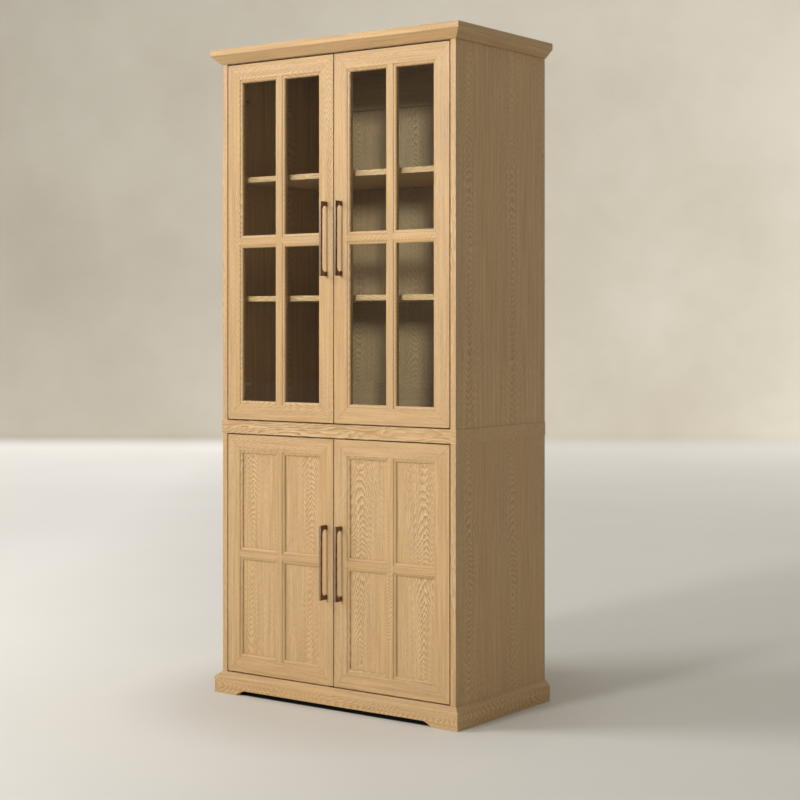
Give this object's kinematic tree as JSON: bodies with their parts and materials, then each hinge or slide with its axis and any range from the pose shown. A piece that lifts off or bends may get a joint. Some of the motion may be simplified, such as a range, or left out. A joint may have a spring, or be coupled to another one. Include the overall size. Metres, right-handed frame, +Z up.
{
  "type": "pantry cabinet",
  "caption": "Tall two-part oak pantry cabinet with glazed doors above, panelled doors below, bar handles, a flared crown and a plinth.",
  "frame": {"origin": "centre of the footprint at floor level, measured over the crown", "axes": "+Z up, doors face -Y, +X to the right of someone facing the doors"},
  "size_m": [1.069, 0.587, 2.286],
  "materials": {
    "oak": "oiled oak with open grain",
    "oak_inside": "plain oak, lightly sealed",
    "bronze": "dark bronze, satin",
    "steel": "nickel plated",
    "glass": "clear, polished",
    "glide": "black nylon"
  },
  "bodies": {
    "cabinet": {"upper_side_left": "oak", "upper_side_right": "oak", "upper_top": "oak_inside", "upper_deck": "oak", "upper_back_frame": "oak_inside", "upper_back_panel": "oak_inside", "crown_front": "oak", "crown_left": "oak", "crown_right": "oak", "crown_blocks": "oak_inside", "lower_side_left": "oak", "lower_side_right": "oak", "lower_deck": "oak", "lower_floor": "oak", "lower_back_frame": "oak_inside", "lower_back_panel": "oak_inside", "plinth_front": "oak", "plinth_left": "oak", "plinth_right": "oak", "plinth_back": "oak_inside", "plinth_blocks": "oak_inside", "floor_glides": "glide", "case_bolts": "steel", "door_stops": "oak_inside", "hinge_arms": "steel", "shelf_pins": "steel"},
    "upper_left_door": {"upper_left_stiles": "oak", "upper_left_rails": "oak", "upper_left_muntins": "oak", "upper_left_panes": "glass", "upper_left_beads": "oak", "upper_left_cups": "steel", "upper_left_handle": "bronze", "upper_left_screws": "steel"},
    "upper_right_door": {"upper_right_stiles": "oak", "upper_right_rails": "oak", "upper_right_muntins": "oak", "upper_right_panes": "glass", "upper_right_beads": "oak", "upper_right_cups": "steel", "upper_right_handle": "bronze", "upper_right_screws": "steel"},
    "lower_left_door": {"lower_left_stiles": "oak", "lower_left_rails": "oak", "lower_left_muntins": "oak", "lower_left_panel": "oak", "lower_left_cups": "steel", "lower_left_handle": "bronze", "lower_left_screws": "steel"},
    "lower_right_door": {"lower_right_stiles": "oak", "lower_right_rails": "oak", "lower_right_muntins": "oak", "lower_right_panel": "oak", "lower_right_cups": "steel", "lower_right_handle": "bronze", "lower_right_screws": "steel"},
    "top_shelf": {"upper_shelf_top": "oak"},
    "middle_shelf": {"upper_shelf_low": "oak"},
    "bottom_shelf": {"lower_shelf": "oak"}
  },
  "joints": [
    {"name": "upper_left_door_hinge", "type": "hinge", "parent": "cabinet", "child": "upper_left_door", "pos_m": [-0.4768, -0.2585, 1.602], "axis": [0, 0, -1], "range_deg": [0, 105]},
    {"name": "upper_right_door_hinge", "type": "hinge", "parent": "cabinet", "child": "upper_right_door", "pos_m": [0.4768, -0.2585, 1.602], "axis": [0, 0, 1], "range_deg": [0, 105]},
    {"name": "lower_left_door_hinge", "type": "hinge", "parent": "cabinet", "child": "lower_left_door", "pos_m": [-0.4768, -0.2585, 0.49925], "axis": [0, 0, -1], "range_deg": [0, 105]},
    {"name": "lower_right_door_hinge", "type": "hinge", "parent": "cabinet", "child": "lower_right_door", "pos_m": [0.4768, -0.2585, 0.49925], "axis": [0, 0, 1], "range_deg": [0, 105]},
    {"name": "top_shelf_lift", "type": "slide", "parent": "cabinet", "child": "top_shelf", "axis": [0, 0, 1], "range_m": [0, 0.03]},
    {"name": "middle_shelf_lift", "type": "slide", "parent": "cabinet", "child": "middle_shelf", "axis": [0, 0, 1], "range_m": [0, 0.03]},
    {"name": "bottom_shelf_lift", "type": "slide", "parent": "cabinet", "child": "bottom_shelf", "axis": [0, 0, 1], "range_m": [0, 0.03]}
  ]
}
